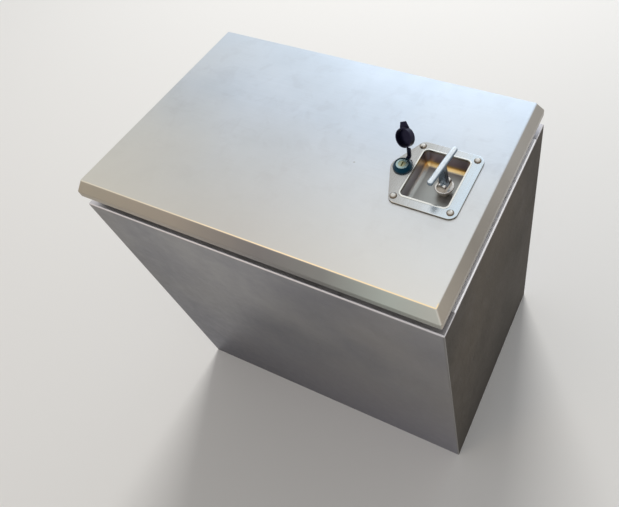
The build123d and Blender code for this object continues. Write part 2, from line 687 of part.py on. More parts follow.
def lock_tail_screw():
    """The screw that holds the tail to the plug."""
    head = Cylinder(TAIL_SCREW / 2, TAIL_SCREW_HEIGHT, align=DROP)
    head = fillet(head.faces().sort_by(Axis.Z)[0].edges(), TAIL_SCREW / 8)
    return lock_place() * Pos(0, 0, LOCK_FOOT - BODY_GAP - TAIL_SHEET) * head


def dust_cap_ring():
    """The rubber ring round the lock that the dust cap's strap grows from."""
    bore = LOCK_DIAMETER / 2
    base = RING_BASE / 2
    top = RING_TOP / 2
    outline = Polyline(
        (bore, 0), (base, 0), (base, RING_FOOT), (top, RING_HEIGHT - RING_LIP),
        (top - RING_LIP, RING_HEIGHT), (bore, RING_HEIGHT), close=True)
    return lock_place() * Pos(0, 0, PLATE_TOP) * revolve(make_face(Plane.XZ * outline), Axis.Z)


def dust_cap():
    """The rubber cap with its tab, drawn on the ring as when closed and swung open on its strap."""
    radius = CAP_DIAMETER / 2
    cup = Cylinder(radius, CAP_DEPTH + CAP_SKIN, align=RISE)
    cup -= Cylinder(radius - CAP_WALL, CAP_DEPTH, align=RISE)
    near = radius - CAP_WALL
    tab = make_face(Polyline(
        (-CAP_TAB_BASE / 2, -near), (CAP_TAB_BASE / 2, -near), (CAP_TAB_TIP / 2, -CAP_TAB_REACH),
        (-CAP_TAB_TIP / 2, -CAP_TAB_REACH), close=True))
    cap = cup + Pos(0, 0, CAP_DEPTH) * extrude(tab, CAP_SKIN)
    cap = fillet(cap.faces().sort_by(Axis.Z)[-1].edges(), CAP_EDGE_ROUND)
    closed = lock_place() * Pos(0, 0, CAP_RIM_Z) * Rot(0, 0, CAP_TURN) * cap
    tilt = Vector(1, 0, 0).rotate(Axis.Y, -CAP_HINGE_TILT)
    hinge = Axis((LOCK_X, LOCK_Y + CAP_HINGE_BACK, LID_TOP + CAP_HINGE_RISE), tilt)
    return closed.rotate(hinge, -CAP_SWING)


def dust_cap_strap():
    """The strap from the ring up to the open cap, bent through a quarter turn."""
    half = STRAP_THICKNESS / 2
    root = (RING_BASE / 2 - half, PLATE_TOP + RING_FOOT)
    corner = (STRAP_BACK, root[1] + half)
    head = (STRAP_BACK + half, LID_TOP + STRAP_RISE)
    path = FilletPolyline(root, corner, head, radius=2 * half)
    section = make_face(offset(path, amount=half, side=Side.BOTH, closed=True, kind=Kind.INTERSECTION))
    strap = extrude(Plane.YZ * section, STRAP_WIDTH / 2, both=True)
    return lock_place() * Rot(0, 0, STRAP_TURN) * strap - dust_cap_ring()


PIECES = [
    front_panel, rear_panel, hinge_end_panel, latch_end_panel, floor_panel, floor_mat, cable_grommets,
    latch_keeper, hinge_body_leaf, hinge_pin, hinge_body_rivets, lid_shell, lid_gasket, hinge_lid_leaf,
    hinge_lid_rivets, latch_dish, latch_gasket, latch_screws, latch_nuts, shaft_housing, swivel_hub,
    handle_pin, cam_spacer, cam_arm, cam_washer, cam_nut, t_handle, lock_housing, lock_nut, key_plug,
    lock_tail, lock_tail_screw, dust_cap_ring, dust_cap_strap, dust_cap,
]

os.makedirs("parts", exist_ok=True)
for piece in PIECES:
    export_step(piece(), "parts/" + piece.__name__ + ".step")
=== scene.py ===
import math

import bmesh
import bpy
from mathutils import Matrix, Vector


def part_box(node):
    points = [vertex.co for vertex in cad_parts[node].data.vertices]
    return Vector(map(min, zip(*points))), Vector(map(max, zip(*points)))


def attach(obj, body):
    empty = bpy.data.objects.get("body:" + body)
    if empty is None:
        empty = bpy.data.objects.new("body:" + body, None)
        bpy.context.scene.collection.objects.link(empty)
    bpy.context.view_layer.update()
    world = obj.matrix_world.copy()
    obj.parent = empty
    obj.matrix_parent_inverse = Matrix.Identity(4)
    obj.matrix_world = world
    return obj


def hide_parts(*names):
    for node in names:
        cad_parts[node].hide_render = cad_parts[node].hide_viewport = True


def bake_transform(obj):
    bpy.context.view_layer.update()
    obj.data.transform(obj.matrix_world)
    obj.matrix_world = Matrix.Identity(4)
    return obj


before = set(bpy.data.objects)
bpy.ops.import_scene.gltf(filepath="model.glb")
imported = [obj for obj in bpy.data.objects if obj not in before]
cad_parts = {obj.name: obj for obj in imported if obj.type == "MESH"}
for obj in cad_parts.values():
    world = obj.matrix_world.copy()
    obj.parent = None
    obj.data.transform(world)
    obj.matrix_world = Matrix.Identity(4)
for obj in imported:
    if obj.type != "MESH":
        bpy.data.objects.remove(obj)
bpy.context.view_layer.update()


# ------------------------------------------------------------------------------------------------
# The stand: a pale floor under a white surround. A soft key lamp high behind the box throws its
# shadow forwards, a wide cool lamp below it stands in for the sky, and a warm one in front for a
# sunlit wall.

def colour(code):
    """An sRGB hex colour as the linear values that a shader wants."""
    parts = [int(code[i:i + 2], 16) / 255 for i in (1, 3, 5)]
    return [p / 12.92 if p <= 0.04045 else ((p + 0.055) / 1.055) ** 2.4 for p in parts] + [1.0]


def add(tree, kind, inputs=(), stops=(), **settings):
    """Adds a node with its settings; each input is a value, or the output that feeds it. stops are
    the places, from 0 to 1, and the colours of a ramp."""
    made = tree.nodes.new(kind)
    if stops:
        ramp = made.color_ramp.elements
        while len(ramp) < len(stops):
            ramp.new(0.5)
        for stage, (where, code) in zip(ramp, stops):
            stage.position, stage.color = where, colour(code)
    for name, value in settings.items():
        setattr(made, name, value)
    for key, value in dict(inputs).items():
        if isinstance(value, bpy.types.NodeSocket):
            tree.links.new(value, made.inputs[key])
        else:
            made.inputs[key].default_value = value
    return made


def new_material(name):
    """A material with an empty tree, and its output."""
    made = bpy.data.materials.new(name)
    made.use_nodes = True
    made.node_tree.nodes.clear()
    return made, made.node_tree, add(made.node_tree, "ShaderNodeOutputMaterial")


scene = bpy.context.scene
scene.view_settings.view_transform = "Standard"

FLOOR_COLOUR = "#EBEAE8"
FLOOR_REACH = 6.0
plane = bpy.data.meshes.new("floor")
corners = [(-FLOOR_REACH, -FLOOR_REACH, 0), (FLOOR_REACH, -FLOOR_REACH, 0),
           (FLOOR_REACH, FLOOR_REACH, 0), (-FLOOR_REACH, FLOOR_REACH, 0)]
plane.from_pydata(corners, [], [(0, 1, 2, 3)])
floor = bpy.data.objects.new("floor", plane)
scene.collection.objects.link(floor)
# matt and nearly white: it takes a soft shadow and shows nothing else
material, tree, output = new_material("pale floor")
ground = add(tree, "ShaderNodeBsdfPrincipled", {"Base Color": colour(FLOOR_COLOUR),
                                                "Roughness": 0.9})
tree.links.new(ground.outputs[0], output.inputs["Surface"])
plane.materials.append(material)

SURROUND_STRENGTH = 0.42
world = bpy.data.worlds.new("surround")
world.use_nodes = True
scene.world = world
tree = world.node_tree
tree.nodes.clear()
path = add(tree, "ShaderNodeLightPath")
seen = add(tree, "ShaderNodeMath", {0: path.outputs["Is Camera Ray"],
                                    1: path.outputs["Is Glossy Ray"]}, operation="MAXIMUM")
seen = add(tree, "ShaderNodeMath", {0: seen.outputs[0], 1: path.outputs["Is Transmission Ray"]},
           operation="MAXIMUM")
soft = add(tree, "ShaderNodeBackground", {"Color": (1, 1, 1, 1), "Strength": SURROUND_STRENGTH})
white = add(tree, "ShaderNodeBackground", {"Color": (1, 1, 1, 1), "Strength": 1.0})
either = add(tree, "ShaderNodeMixShader", {0: seen.outputs[0], 1: soft.outputs[0],
                                           2: white.outputs[0]})
add(tree, "ShaderNodeOutputWorld", {"Surface": either.outputs[0]})

# each lamp's place, aim, size, watts and tone, and whether polished metal mirrors it
LAMPS = [
    ("key lamp", (-1.0, 2.8, 3.6), (0, 0, 0.3), (1.4, 1.4), 110, "#FFFDF9", False),
    ("sky lamp", (-0.6, 3.3, 2.3), (0, 0, 0.6), (3.2, 1.5), 21, "#D6E6F8", True),
    ("wall lamp", (-1.9, -2.7, 1.8), (0, 0, 0.6), (1.5, 1.1), 7.5, "#FFD9A6", True),
]
for name, at, towards, size, power, tone, mirrored in LAMPS:
    data = bpy.data.lights.new(name, "AREA")
    data.shape = "RECTANGLE"
    data.size, data.size_y = size
    data.energy = power
    data.color = colour(tone)[:3]
    lamp = bpy.data.objects.new(name, data)
    lamp.location = at
    lamp.rotation_euler = (Vector(towards) - Vector(at)).to_track_quat("-Z", "Y").to_euler()
    lamp.visible_glossy = mirrored
    scene.collection.objects.link(lamp)

CAMERA_PLACE = (0.47276, -0.48842, 1.22875)
CAMERA_TURN = (35.092, 4.674, 24.425)
CAMERA_LENS = 33.385
CAMERA_SHIFT = (-0.1866, -0.0188)
data = bpy.data.cameras.new("camera")
data.lens = CAMERA_LENS
data.shift_x, data.shift_y = CAMERA_SHIFT
data.clip_start = 0.05
camera = bpy.data.objects.new("camera", data)
camera.location = CAMERA_PLACE
camera.rotation_euler = [math.radians(a) for a in CAMERA_TURN]
scene.collection.objects.link(camera)
scene.camera = camera


# ------------------------------------------------------------------------------------------------
# The box: walls, floor and keeper folded from 1.5 mm stainless sheet, 304 grade with a dulled mill
# finish, so it mirrors its surroundings only as soft clouds. Its upright corners are welded and
# ground.

MM = 0.001
# how wide the pale clouds, the warm drift, the smears in the shine and the hand marks are
CLOUD = 160 * MM
DRIFT = 420 * MM
SMEAR = 26 * MM
HAND_MARK = 34 * MM
HAND_MARK_COLOUR = "#8E8B90"
DIRT_APART = 90 * MM
DIRT_COLOUR = "#6B645C"


def dress(names, material):
    """Gives CAD pieces their material."""
    for name in names:
        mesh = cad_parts[name].data
        mesh.materials.clear()
        mesh.materials.append(material)


def dulled_stainless(name, shade, clouded, warmed, dull, brushed, seams_and_painted_light=None, blots=0.0,
                     speckle=0.03, edge="#FFFFFF"):
    """Stainless sheet with a dulled mill finish. Its tone drifts between three shades in wide
    clouds; brushed says how the grain lies, as its size in millimetres along X, Y and Z, and
    speckle how strongly it shows; seam gives the tone where welds are ground and paints shade,
    highlights and reflections on the sheet; blots is how strongly hand marks show; edge is the
    tint of what it mirrors at a low angle."""
    material, tree, output = new_material(name)
    place = add(tree, "ShaderNodeTexCoord").outputs["Object"]
    cloud = add(tree, "ShaderNodeTexNoise", {"Vector": place, "Scale": 1 / CLOUD, "Detail": 4.0,
                                             "Roughness": 0.6})
    drift = add(tree, "ShaderNodeTexNoise", {"Vector": place, "Scale": 1 / DRIFT, "Detail": 2.0})
    soft = add(tree, "ShaderNodeMapRange", {"Value": cloud.outputs["Fac"], "From Min": 0.35,
                                            "From Max": 0.7})
    base = add(tree, "ShaderNodeMix", {"Factor": soft.outputs[0], "A": colour(shade),
                                       "B": colour(clouded)}, data_type="RGBA")
    warm = add(tree, "ShaderNodeMapRange", {"Value": drift.outputs["Fac"], "From Min": 0.42,
                                            "From Max": 0.62})
    toned = add(tree, "ShaderNodeMix", {"Factor": warm.outputs[0], "A": base.outputs["Result"],
                                        "B": colour(warmed)}, data_type="RGBA")
    # the rolling grain is far finer than this; it is drawn coarse enough to show
    along = add(tree, "ShaderNodeMapping", {"Vector": place,
                                            "Scale": [1 / (g * MM) for g in brushed]})
    grain = add(tree, "ShaderNodeTexNoise", {"Vector": along.outputs[0], "Scale": 1.0,
                                             "Detail": 3.0, "Roughness": 0.7})
    speck = add(tree, "ShaderNodeMapRange", {"Value": grain.outputs["Fac"], "From Min": 0.3,
                                             "From Max": 0.7, "To Min": 1 - speckle,
                                             "To Max": 1 + speckle})
    skin = add(tree, "ShaderNodeMix", {"Factor": 1.0, "A": toned.outputs["Result"],
                                       "B": speck.outputs[0]},
               data_type="RGBA", blend_type="MULTIPLY")
    # hand marks and water marks, gathered in a few places
    blot = add(tree, "ShaderNodeTexNoise", {"Vector": place, "Scale": 1 / HAND_MARK, "Detail": 5.0,
                                            "Roughness": 0.62, "Distortion": 0.6})
    blot = add(tree, "ShaderNodeMapRange", {"Value": blot.outputs["Fac"], "From Min": 0.52,
                                            "From Max": 0.66, "To Max": blots})
    skin = add(tree, "ShaderNodeMix", {"Factor": blot.outputs[0], "A": skin.outputs["Result"],
                                       "B": colour(HAND_MARK_COLOUR)}, data_type="RGBA")
    # pin-head specks of dirt, few and far apart
    pin = add(tree, "ShaderNodeTexVoronoi", {"Vector": place, "Scale": 1 / DIRT_APART})
    pin = add(tree, "ShaderNodeMapRange", {"Value": pin.outputs["Distance"], "From Min": 0.014,
                                           "From Max": 0.026, "To Min": 0.6, "To Max": 0.0})
    skin = add(tree, "ShaderNodeMix", {"Factor": pin.outputs[0], "A": skin.outputs["Result"],
                                       "B": colour(DIRT_COLOUR)}, data_type="RGBA")
    smear = add(tree, "ShaderNodeTexNoise", {"Vector": place, "Scale": 1 / SMEAR, "Detail": 5.0,
                                             "Roughness": 0.7})
    rough = add(tree, "ShaderNodeMapRange", {"Value": smear.outputs["Fac"], "From Min": 0.3,
                                             "From Max": 0.7, "To Min": dull - 0.05,
                                             "To Max": dull + 0.06})
    dimple = add(tree, "ShaderNodeBump", {"Height": grain.outputs["Fac"], "Strength": 0.12,
                                          "Distance": 0.05 * MM})
    tone = skin.outputs["Result"]
    if seams_and_painted_light is not None:
        tone = seams_and_painted_light(tree, place, tone)
    metal = add(tree, "ShaderNodeBsdfPrincipled", {
        "Base Color": tone, "Metallic": 1.0, "Roughness": rough.outputs[0],
        "Specular Tint": colour(edge), "Normal": dimple.outputs[0]})
    tree.links.new(metal.outputs[0], output.inputs["Surface"])
    return material


def from_edge(tree, place, axis, half, width):
    """How near a point is to either end of an axis: 0 at a width from the end, 1 close to it."""
    parts = add(tree, "ShaderNodeSeparateXYZ", {"Vector": place})
    away = add(tree, "ShaderNodeMath", {0: parts.outputs[axis]}, operation="ABSOLUTE")
    return add(tree, "ShaderNodeMapRange", {"Value": away.outputs[0], "From Min": half - width,
                                            "From Max": half - 0.4 * width}).outputs[0]


CORNER_GROUND = 3 * MM
GROUND_COLOUR = "#959391"
INSIDE_COLOUR = "#B2B1B2"
# thinner than the sheet, so that only its outer face counts as the outside
OUTER_SKIN = 1.2 * MM
FOOT_TOP = 320 * MM
FOOT_COOLEST = 40 * MM
# the limits of the walls' painted shading, as shares of their own tone
DARKEST = 0.6
PALEST = 1.62
box_low, box_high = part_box("front_panel")
BOX_HALF = (box_high.x, -box_low.y)
LEDGE_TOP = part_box("hinge_body_leaf")[0].z


def box_corners(tree, place, tone, ledge="#C3C0C2", foot="#8D8D9B",
                paler=(0.91, 0.0, 1.06), own_at=0.28):
    """Paints shading on the walls: paler in the direction of paler and darker against it, evenly
    with the distance, from their own tone at own_at along it; paints shade at the foot; brightens
    the upright corners, where the weld is ground; and paints a highlight on the ledge under the
    lid. The inside keeps the mill's brightness."""
    parts = add(tree, "ShaderNodeSeparateXYZ", {"Vector": place})
    # painted shade at the foot: a cool tone on the walls, a darker one on the latch end
    low = add(tree, "ShaderNodeMapRange", {"Value": parts.outputs[2], "From Min": FOOT_TOP,
                                           "From Max": FOOT_COOLEST, "To Max": 0.55})
    tone = add(tree, "ShaderNodeMix", {"Factor": low.outputs[0], "A": tone, "B": colour(foot)},
               data_type="RGBA").outputs["Result"]
    # painted shading: paler in the direction of paler, darker against it
    lean = add(tree, "ShaderNodeVectorMath", {0: place, 1: paler}, operation="DOT_PRODUCT")
    shade = add(tree, "ShaderNodeMapRange", {
        "Value": lean.outputs["Value"], "From Min": own_at + DARKEST - 1,
        "From Max": own_at + PALEST - 1, "To Min": DARKEST, "To Max": PALEST})
    tone = add(tree, "ShaderNodeMix", {"Factor": 1.0, "A": tone, "B": shade.outputs[0]},
               data_type="RGBA", blend_type="MULTIPLY").outputs["Result"]
    ends = from_edge(tree, place, 0, BOX_HALF[0], CORNER_GROUND)
    sides = from_edge(tree, place, 1, BOX_HALF[1], CORNER_GROUND)
    mark = add(tree, "ShaderNodeMath", {0: ends, 1: sides}, operation="MULTIPLY")
    tone = add(tree, "ShaderNodeMix", {"Factor": mark.outputs[0], "A": tone,
                                       "B": colour(GROUND_COLOUR)},
               data_type="RGBA").outputs["Result"]
    outer = add(tree, "ShaderNodeMath", {0: from_edge(tree, place, 0, BOX_HALF[0], OUTER_SKIN),
                                         1: from_edge(tree, place, 1, BOX_HALF[1], OUTER_SKIN)},
                operation="MAXIMUM")
    tone = add(tree, "ShaderNodeMix", {"Factor": outer.outputs[0], "A": colour(INSIDE_COLOUR),
                                       "B": tone}, data_type="RGBA").outputs["Result"]
    # painted highlight: the ledge under the lid is paler
    above = add(tree, "ShaderNodeMapRange", {"Value": parts.outputs[2],
                                             "From Min": LEDGE_TOP - 2 * OUTER_SKIN,
                                             "From Max": LEDGE_TOP - OUTER_SKIN / 2})
    return add(tree, "ShaderNodeMix", {"Factor": above.outputs[0], "A": tone, "B": colour(ledge)},
               data_type="RGBA").outputs["Result"]


def end_corners(tree, place, tone):
    """As box_corners, for the latch end: its painted ledge highlight is paler, and its painted
    shading only darkens it towards the foot.
    """
    return box_corners(tree, place, tone, "#F4F2F4", "#6B6865", (0.0, 0.0, 0.3), -0.13)


# a dulled mill finish: slow pale clouds under a weak, blurred shine; the walls' tones are painted
# darker than the lid's as shade, and the latch end's darker still
box_sheet = dulled_stainless("dulled stainless box sheet", "#8B8A8B", "#78787D", "#898684", 0.44,
                             (60, 60, 2.5), box_corners, 0.12)
end_sheet = dulled_stainless("dulled stainless latch end", "#6B6763", "#5C5A57", "#6E6963", 0.5,
                             (3, 4, 3.5), end_corners, 0.08, 0.16, "#9A9896")
dress(["front_panel", "rear_panel", "hinge_end_panel", "floor_panel", "latch_keeper"], box_sheet)
dress(["latch_end_panel"], end_sheet)


# ------------------------------------------------------------------------------------------------
# The lid: one sheet of the same stainless, its flat top bevelled on four sides and turned down into
# a short skirt. The mitred corners are welded and ground; the lid's tone is painted paler and bluer
# than the walls', as sky light on the same sheet.

MITRE_GROUND = 2.5 * MM
MITRE_COLOUR = "#C9C2B8"
BEVEL_OUT = 11 * MM
# how far under the top the bevels' painted reflections begin and are full, and the painted fold
# highlight fills, fades, ends
BEVEL_DOWN = (0.5 * MM, 2.5 * MM)
FOLD_GLINT_DOWN = (0.4 * MM, 0.8 * MM, 1.4 * MM)
WARM_FROM = 50 * MM
COOL_FROM, COOL_FULL = 30 * MM, 190 * MM
SKY_REFLECTION_COLOUR = "#DAE7F3"
CORNER_SHADE = 0.87
lid_low, lid_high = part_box("lid_shell")
LID_HALF = ((lid_high.x - lid_low.x) / 2, lid_high.y)
LID_MIDDLE = (lid_high.x + lid_low.x) / 2
FRONT_REFLECTION_TONES = [(0.05, "#D1CDC2"), (0.5, "#CECAC3"), (1.0, "#D9D7D1")]
LONG_BEVEL_REFLECTIONS = [(0.0, "#A59C8C"), (0.3, "#A0968A"), (0.55, "#807C7B"), (0.72, "#8B8B88"),
                    (0.88, "#B3BAB3"), (1.0, "#C2C2BA")]
SHORT_BEVEL_REFLECTIONS = [(0.0, "#B2A99C"), (0.3, "#989188"), (0.7, "#ABA69F"), (1.0, "#A8A29A")]
FOLD_GLINT_TONES = [(0.0, "#CFCCBE"), (0.3, "#D8CFBA"), (0.6, "#F6E3BF"), (1.0, "#FFE6B4")]


def lid_folds(tree, place, tone):
    """Paints reflections on the lid: warm towards its front, a cool sky tone behind, reflections on
    its bevels and a highlight along the front fold; paints shade on the front corner at the hinge
    end; and brightens the four ground mitres."""
    parts = add(tree, "ShaderNodeSeparateXYZ", {"Vector": place})
    length = add(tree, "ShaderNodeMapRange", {"Value": parts.outputs[0], "From Min": lid_low.x,
                                              "From Max": lid_high.x}).outputs[0]
    width = add(tree, "ShaderNodeMapRange", {"Value": parts.outputs[1], "From Min": lid_low.y,
                                             "From Max": lid_high.y}).outputs[0]
    # painted reflection: a warm tone towards the front
    front = add(tree, "ShaderNodeMapRange", {"Value": parts.outputs[1], "From Min": WARM_FROM,
                                             "From Max": -LID_HALF[1]})
    warm = add(tree, "ShaderNodeValToRGB", {"Fac": length}, stops=FRONT_REFLECTION_TONES)
    tone = add(tree, "ShaderNodeMix", {"Factor": front.outputs[0], "A": tone,
                                       "B": warm.outputs["Color"]},
               data_type="RGBA").outputs["Result"]
    # painted reflection: a cool sky tone behind
    behind = add(tree, "ShaderNodeMapRange", {"Value": parts.outputs[1], "From Min": COOL_FROM,
                                              "From Max": COOL_FULL, "To Max": 0.35})
    tone = add(tree, "ShaderNodeMix", {"Factor": behind.outputs[0], "A": tone,
                                       "B": colour(SKY_REFLECTION_COLOUR)},
               data_type="RGBA").outputs["Result"]
    # painted shade: the front corner at the hinge end is a little dimmer
    lean = add(tree, "ShaderNodeVectorMath", {0: place, 1: (1.0, 1.2, 0.0)},
               operation="DOT_PRODUCT")
    shade = add(tree, "ShaderNodeMapRange", {"Value": lean.outputs["Value"], "From Min": -0.3,
                                             "From Max": 0.0, "To Min": CORNER_SHADE, "To Max": 1.0})
    tone = add(tree, "ShaderNodeMix", {"Factor": 1.0, "A": tone, "B": shade.outputs[0]},
               data_type="RGBA", blend_type="MULTIPLY").outputs["Result"]

    # apart is above 0 where a point lies nearer to a short side than to a long one
    middle = add(tree, "ShaderNodeMath", {0: parts.outputs[0], 1: LID_MIDDLE}, operation="SUBTRACT")
    end = add(tree, "ShaderNodeMath", {0: middle.outputs[0]}, operation="ABSOLUTE")
    side = add(tree, "ShaderNodeMath", {0: parts.outputs[1]}, operation="ABSOLUTE")
    apart = add(tree, "ShaderNodeMath", {0: end.outputs[0], 1: side.outputs[0]},
                operation="SUBTRACT")
    apart = add(tree, "ShaderNodeMath", {0: apart.outputs[0], 1: LID_HALF[0] - LID_HALF[1]},
                operation="SUBTRACT")
    on_end = add(tree, "ShaderNodeMath", {0: apart.outputs[0], 1: 0.0}, operation="GREATER_THAN")
    # painted reflections on the bevels, along the long sides and across the ends
    long_bevel = add(tree, "ShaderNodeValToRGB", {"Fac": length}, stops=LONG_BEVEL_REFLECTIONS)
    short_bevel = add(tree, "ShaderNodeValToRGB", {"Fac": width}, stops=SHORT_BEVEL_REFLECTIONS)
    bevel = add(tree, "ShaderNodeMix", {"Factor": on_end.outputs[0],
                                        "A": long_bevel.outputs["Color"],
                                        "B": short_bevel.outputs["Color"]}, data_type="RGBA")
    under = add(tree, "ShaderNodeMapRange", {"Value": parts.outputs[2],
                                             "From Min": lid_high.z - BEVEL_DOWN[0],
                                             "From Max": lid_high.z - BEVEL_DOWN[1],
                                             "To Max": 0.95})
    tone = add(tree, "ShaderNodeMix", {"Factor": under.outputs[0], "A": tone,
                                       "B": bevel.outputs["Result"]},
               data_type="RGBA").outputs["Result"]
    # a painted highlight along the front fold: a thin band, on the front side only
    rubbed = add(tree, "ShaderNodeMapRange", {"Value": parts.outputs[2], "From Min": lid_high.z,
                                              "From Max": lid_high.z - FOLD_GLINT_DOWN[0]})
    below = add(tree, "ShaderNodeMapRange", {"Value": parts.outputs[2],
                                             "From Min": lid_high.z - FOLD_GLINT_DOWN[2],
                                             "From Max": lid_high.z - FOLD_GLINT_DOWN[1]})
    rubbed = add(tree, "ShaderNodeMath", {0: rubbed.outputs[0], 1: below.outputs[0]},
                 operation="MULTIPLY")
    facing = add(tree, "ShaderNodeMapRange", {"Value": parts.outputs[1],
                                              "From Min": 0.9 * lid_low.y,
                                              "From Max": 0.92 * lid_low.y})
    rubbed = add(tree, "ShaderNodeMath", {0: rubbed.outputs[0], 1: facing.outputs[0]},
                 operation="MULTIPLY")
    golden_glint = add(tree, "ShaderNodeValToRGB", {"Fac": length}, stops=FOLD_GLINT_TONES)
    tone = add(tree, "ShaderNodeMix", {"Factor": rubbed.outputs[0], "A": tone,
                                       "B": golden_glint.outputs["Color"]},
               data_type="RGBA").outputs["Result"]
    # a mitre is where both sides are equally near
    apart = add(tree, "ShaderNodeMath", {0: apart.outputs[0]}, operation="ABSOLUTE")
    line = add(tree, "ShaderNodeMapRange", {"Value": apart.outputs[0],
                                            "From Min": 0.3 * MITRE_GROUND,
                                            "From Max": MITRE_GROUND, "To Min": 0.35,
                                            "To Max": 0.0})
    near = add(tree, "ShaderNodeMath", {0: side.outputs[0], 1: LID_HALF[1] - BEVEL_OUT},
               operation="GREATER_THAN")
    mark = add(tree, "ShaderNodeMath", {0: line.outputs[0], 1: near.outputs[0]},
               operation="MULTIPLY")
    return add(tree, "ShaderNodeMix", {"Factor": mark.outputs[0], "A": tone,
                                       "B": colour(MITRE_COLOUR)},
               data_type="RGBA").outputs["Result"]


# the same sheet, its tone painted paler and bluer as sky light, with a finer shine that is drawn
# out along the lid
lid_sheet = dulled_stainless("dulled stainless lid sheet", "#C6CED7", "#BBC3CB", "#C8CBCC", 0.38,
                             (70, 2.5, 2.5), lid_folds, 0.12, 0.02)
dress(["lid_shell"], lid_sheet)


# ------------------------------------------------------------------------------------------------
# The continuous hinge in the gap at the end away from the latch: rolled stainless leaves on a drawn
# pin, brighter than the sheet. Two rows of domed stainless rivets hold it, six through the ledge
# and six through the lid's skirt.

# drawn, so it has a closer, brighter shine than the sheet, with its grain along the pin
hinge_steel = dulled_stainless("drawn stainless hinge", "#B4B4B3", "#A6A6A5", "#ADA9A2", 0.34,
                               (3, 40, 3))
dress(["hinge_body_leaf", "hinge_lid_leaf", "hinge_pin"], hinge_steel)


def new_shape_tree(name, sizes):
    """A geometry tree with named inputs for its sizes and one for its material."""
    tree = bpy.data.node_groups.new(name, "GeometryNodeTree")
    tree.interface.new_socket("Geometry", in_out="OUTPUT", socket_type="NodeSocketGeometry")
    for size, kind in sizes.items():
        tree.interface.new_socket(size, in_out="INPUT", socket_type="NodeSocket" + kind)
    tree.interface.new_socket("Material", in_out="INPUT", socket_type="NodeSocketMaterial")
    return tree, add(tree, "NodeGroupInput").outputs


def close_shape_tree(tree, given, shape):
    """Ends a geometry tree: instances made real, their material set."""
    real = add(tree, "GeometryNodeRealizeInstances", {"Geometry": shape})
    done = add(tree, "GeometryNodeSetMaterial", {"Geometry": real.outputs[0],
                                                 "Material": given["Material"]})
    add(tree, "NodeGroupOutput", {"Geometry": done.outputs[0]})


def domed_head(tree, radius, rim, rise):
    """A round head standing on Z = 0: an upright rim, and a low dome that rises from it."""
    disc = add(tree, "GeometryNodeMeshCylinder", {
        "Vertices": 28, "Side Segments": 1, "Fill Segments": 6, "Radius": radius, "Depth": rim})
    place = add(tree, "GeometryNodeInputPosition")
    parts = add(tree, "ShaderNodeSeparateXYZ", {"Vector": place.outputs[0]})
    flat = add(tree, "ShaderNodeCombineXYZ", {"X": parts.outputs[0], "Y": parts.outputs[1]})
    out = add(tree, "ShaderNodeVectorMath", {0: flat.outputs[0]}, operation="LENGTH")
    share = add(tree, "ShaderNodeMath", {0: out.outputs["Value"], 1: radius}, operation="DIVIDE")
    square = add(tree, "ShaderNodeMath", {0: share.outputs[0], 1: 2.0}, operation="POWER")
    fall = add(tree, "ShaderNodeMath", {0: 1.0, 1: square.outputs[0]}, operation="SUBTRACT")
    lift = add(tree, "ShaderNodeMath", {0: fall.outputs[0], 1: rise}, operation="MULTIPLY")
    top = add(tree, "ShaderNodeMath", {0: parts.outputs[2], 1: 0.0}, operation="GREATER_THAN")
    lift = add(tree, "ShaderNodeMath", {0: lift.outputs[0], 1: top.outputs[0]},
               operation="MULTIPLY")
    half = add(tree, "ShaderNodeMath", {0: rim, 1: 0.5}, operation="MULTIPLY")
    lift = add(tree, "ShaderNodeMath", {0: lift.outputs[0], 1: half.outputs[0]}, operation="ADD")
    move = add(tree, "ShaderNodeCombineXYZ", {"Z": lift.outputs[0]})
    return add(tree, "GeometryNodeSetPosition", {"Geometry": disc.outputs["Mesh"],
                                                 "Offset": move.outputs[0]}).outputs[0]


def hanging_rod(tree, radius, length, top):
    """A plain round rod that hangs from a height."""
    rod = add(tree, "GeometryNodeMeshCylinder", {"Vertices": 20, "Radius": radius, "Depth": length})
    half = add(tree, "ShaderNodeMath", {0: length, 1: -0.5}, operation="MULTIPLY")
    middle = add(tree, "ShaderNodeMath", {0: top, 1: half.outputs[0]}, operation="ADD")
    move = add(tree, "ShaderNodeCombineXYZ", {"Z": middle.outputs[0]})
    return add(tree, "GeometryNodeTransform", {"Geometry": rod.outputs["Mesh"],
                                               "Translation": move.outputs[0]}).outputs[0]


# in degrees: rims stay crisp above it, domes and shanks stay smooth below it
SHARP_ANGLE = 34


def shape_from(tree, name, sizes):
    """Runs a geometry tree with the given sizes and keeps the result as a plain mesh piece, smooth
    but for its sharp edges."""
    piece = bpy.data.objects.new(name, bpy.data.meshes.new(name))
    scene.collection.objects.link(piece)
    modifier = piece.modifiers.new("shape", "NODES")
    modifier.node_group = tree
    for item in tree.interface.items_tree:
        if item.in_out == "INPUT":
            modifier[item.identifier] = sizes[item.name]
    bpy.context.view_layer.update()
    ready = piece.evaluated_get(bpy.context.evaluated_depsgraph_get())
    shape = bpy.data.meshes.new_from_object(ready)
    shape.shade_smooth()
    shape.set_sharp_from_angle(angle=math.radians(SHARP_ANGLE))
    piece.modifiers.remove(modifier)
    piece.data = shape
    return piece


